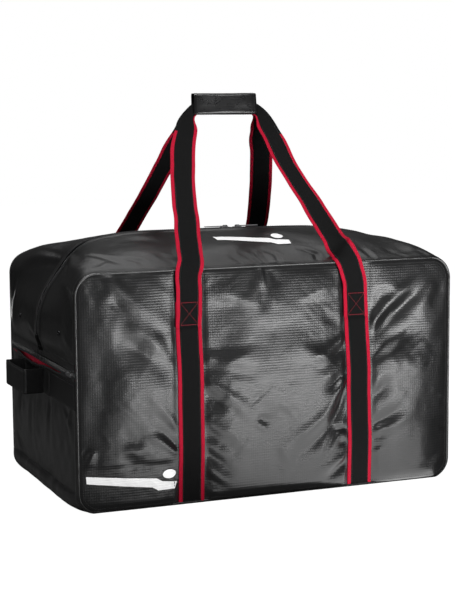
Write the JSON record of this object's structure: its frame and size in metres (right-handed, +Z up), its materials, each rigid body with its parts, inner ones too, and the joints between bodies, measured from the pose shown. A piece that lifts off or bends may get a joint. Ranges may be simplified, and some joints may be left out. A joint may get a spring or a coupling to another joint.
{
  "type": "hockey equipment bag",
  "caption": "Large rectangular tarpaulin equipment bag with a crowned zipped top, end pockets, two red-edged webbing carry handles joined by a grip wrap, and webbing end loops.",
  "frame": {"origin": "centre of the underside, where the bag rests on the floor", "axes": "+X along the length of the bag, front face towards -Y, +Z up"},
  "size_m": [0.9044, 0.497, 0.804],
  "materials": {
    "panel_tarpaulin": "gloss coated, finely ribbed",
    "gusset_tarpaulin": "gloss coated, smooth",
    "piping": "gloss",
    "white_print": "matt print",
    "black_metal": "black enamel",
    "red_lining": "woven, satin",
    "dark_metal": "gunmetal",
    "bright_metal": "nickel",
    "zip_tape": "woven tape, moulded teeth",
    "grip_vinyl": "gloss coated",
    "webbing": "woven, matt, red edges on the carry handles"
  },
  "bodies": {
    "bag_shell": {"back_left_strap": "webbing", "back_panel": "panel_tarpaulin", "back_piping": "piping", "back_right_strap": "webbing", "bottom_panel": "gusset_tarpaulin", "front_left_strap": "webbing", "front_panel": "panel_tarpaulin", "front_piping": "piping", "front_right_strap": "webbing", "front_stick_print": "white_print", "left_back_top_corner": "gusset_tarpaulin", "left_end_handle_band": "webbing", "left_end_panel": "gusset_tarpaulin", "left_end_zip": "zip_tape", "left_front_top_corner": "gusset_tarpaulin", "left_pocket_lining": "red_lining", "left_pocket_zip_lower": "zip_tape", "left_pocket_zip_upper": "zip_tape", "left_zip_end_tab": "zip_tape", "right_back_top_corner": "gusset_tarpaulin", "right_end_handle_band": "webbing", "right_end_panel": "gusset_tarpaulin", "right_end_zip": "zip_tape", "right_front_top_corner": "gusset_tarpaulin", "right_pocket_lining": "red_lining", "right_pocket_zip_lower": "zip_tape", "right_pocket_zip_upper": "zip_tape", "right_zip_end_tab": "zip_tape", "vent_eyelets": "black_metal"},
    "front_flap": {"top_front_flap": "gusset_tarpaulin", "main_zip_front": "zip_tape", "top_stick_print": "white_print"},
    "back_flap": {"top_back_flap": "gusset_tarpaulin", "main_zip_back": "zip_tape"},
    "main_slider_left": {"main_slider_left": "bright_metal"},
    "main_slider_right": {"main_slider_right": "bright_metal"},
    "main_pull_left": {"main_pull_left": "bright_metal"},
    "main_pull_right": {"main_pull_right": "bright_metal"},
    "front_handle": {"front_handle": "webbing", "grip_wrap": "grip_vinyl"},
    "grip_flap": {"grip_flap": "grip_vinyl"},
    "back_handle": {"back_handle": "webbing"},
    "left_pocket_slider": {"left_pocket_slider": "dark_metal"},
    "left_pocket_pull": {"left_pocket_pull": "dark_metal"},
    "right_pocket_slider": {"right_pocket_slider": "dark_metal"},
    "right_pocket_pull": {"right_pocket_pull": "dark_metal"},
    "left_loop_front_leg": {"left_loop_front_leg": "webbing"},
    "left_loop_run": {"left_loop_run": "webbing"},
    "left_loop_rear_leg": {"left_loop_rear_leg": "webbing"},
    "right_loop_front_leg": {"right_loop_front_leg": "webbing"},
    "right_loop_run": {"right_loop_run": "webbing"},
    "right_loop_rear_leg": {"right_loop_rear_leg": "webbing"}
  },
  "joints": [
    {"name": "front_flap_fold", "type": "hinge", "parent": "bag_shell", "child": "front_flap", "pos_m": [0, -0.2382, 0.4665], "axis": [-1, 0, 0], "range_deg": [0, 80]},
    {"name": "back_flap_fold", "type": "hinge", "parent": "bag_shell", "child": "back_flap", "pos_m": [0, 0.2382, 0.4665], "axis": [1, 0, 0], "range_deg": [0, 80]},
    {"name": "main_zip_slide_left", "type": "slide", "parent": "bag_shell", "child": "main_slider_left", "axis": [-1, 0, 0], "range_m": [0, 0.24]},
    {"name": "main_zip_slide_right", "type": "slide", "parent": "bag_shell", "child": "main_slider_right", "axis": [1, 0, 0], "range_m": [0, 0.21]},
    {"name": "main_pull_swing_left", "type": "hinge", "parent": "main_slider_left", "child": "main_pull_left", "pos_m": [0.001, 0, 0.5281], "axis": [0, 1, 0], "range_deg": [0, 150]},
    {"name": "main_pull_swing_right", "type": "hinge", "parent": "main_slider_right", "child": "main_pull_right", "pos_m": [0.029, 0, 0.5281], "axis": [0, -1, 0], "range_deg": [0, 150]},
    {"name": "front_handle_swing", "type": "hinge", "parent": "bag_shell", "child": "front_handle", "pos_m": [0, -0.2475, 0.405], "axis": [1, 0, 0], "range_deg": [0, 170]},
    {"name": "grip_flap_open", "type": "hinge", "parent": "front_handle", "child": "grip_flap", "pos_m": [0, -0.02, 0.804], "axis": [1, 0, 0], "range_deg": [0, 170]},
    {"name": "back_handle_swing", "type": "hinge", "parent": "bag_shell", "child": "back_handle", "pos_m": [0, 0.2475, 0.405], "axis": [-1, 0, 0], "range_deg": [0, 170]},
    {"name": "left_pocket_zip_slide", "type": "slide", "parent": "bag_shell", "child": "left_pocket_slider", "axis": [0, 1, 0], "range_m": [0, 0.38]},
    {"name": "right_pocket_zip_slide", "type": "slide", "parent": "bag_shell", "child": "right_pocket_slider", "axis": [0, 1, 0], "range_m": [0, 0.38]},
    {"name": "left_pocket_pull_swing", "type": "hinge", "parent": "left_pocket_slider", "child": "left_pocket_pull", "pos_m": [-0.4113, -0.196, 0.2705], "axis": [0, 0, -1], "range_deg": [0, 150]},
    {"name": "right_pocket_pull_swing", "type": "hinge", "parent": "right_pocket_slider", "child": "right_pocket_pull", "pos_m": [0.4113, -0.196, 0.2705], "axis": [0, 0, 1], "range_deg": [0, 150]},
    {"name": "left_loop_fold", "type": "hinge", "parent": "bag_shell", "child": "left_loop_front_leg", "pos_m": [-0.4107, -0.022, 0.229], "axis": [0, 0, 1], "range_deg": [0, 78]},
    {"name": "left_loop_run_turn", "type": "hinge", "parent": "left_loop_front_leg", "child": "left_loop_run", "pos_m": [-0.4467, -0.022, 0.229], "axis": [0, 0, -1], "range_deg": [0, 78]},
    {"name": "left_loop_rear_turn", "type": "hinge", "parent": "bag_shell", "child": "left_loop_rear_leg", "pos_m": [-0.4107, 0.118, 0.229], "axis": [0, 0, 1], "range_deg": [0, 78]},
    {"name": "right_loop_fold", "type": "hinge", "parent": "bag_shell", "child": "right_loop_front_leg", "pos_m": [0.4107, -0.022, 0.229], "axis": [0, 0, -1], "range_deg": [0, 78]},
    {"name": "right_loop_run_turn", "type": "hinge", "parent": "right_loop_front_leg", "child": "right_loop_run", "pos_m": [0.4467, -0.022, 0.229], "axis": [0, 0, 1], "range_deg": [0, 78]},
    {"name": "right_loop_rear_turn", "type": "hinge", "parent": "bag_shell", "child": "right_loop_rear_leg", "pos_m": [0.4107, 0.118, 0.229], "axis": [0, 0, -1], "range_deg": [0, 78]}
  ],
  "couplings": [
    {"joint": "left_loop_run_turn", "follows": "left_loop_fold", "ratio": 1},
    {"joint": "left_loop_rear_turn", "follows": "left_loop_fold", "ratio": 1},
    {"joint": "right_loop_run_turn", "follows": "right_loop_fold", "ratio": 1},
    {"joint": "right_loop_rear_turn", "follows": "right_loop_fold", "ratio": 1}
  ]
}
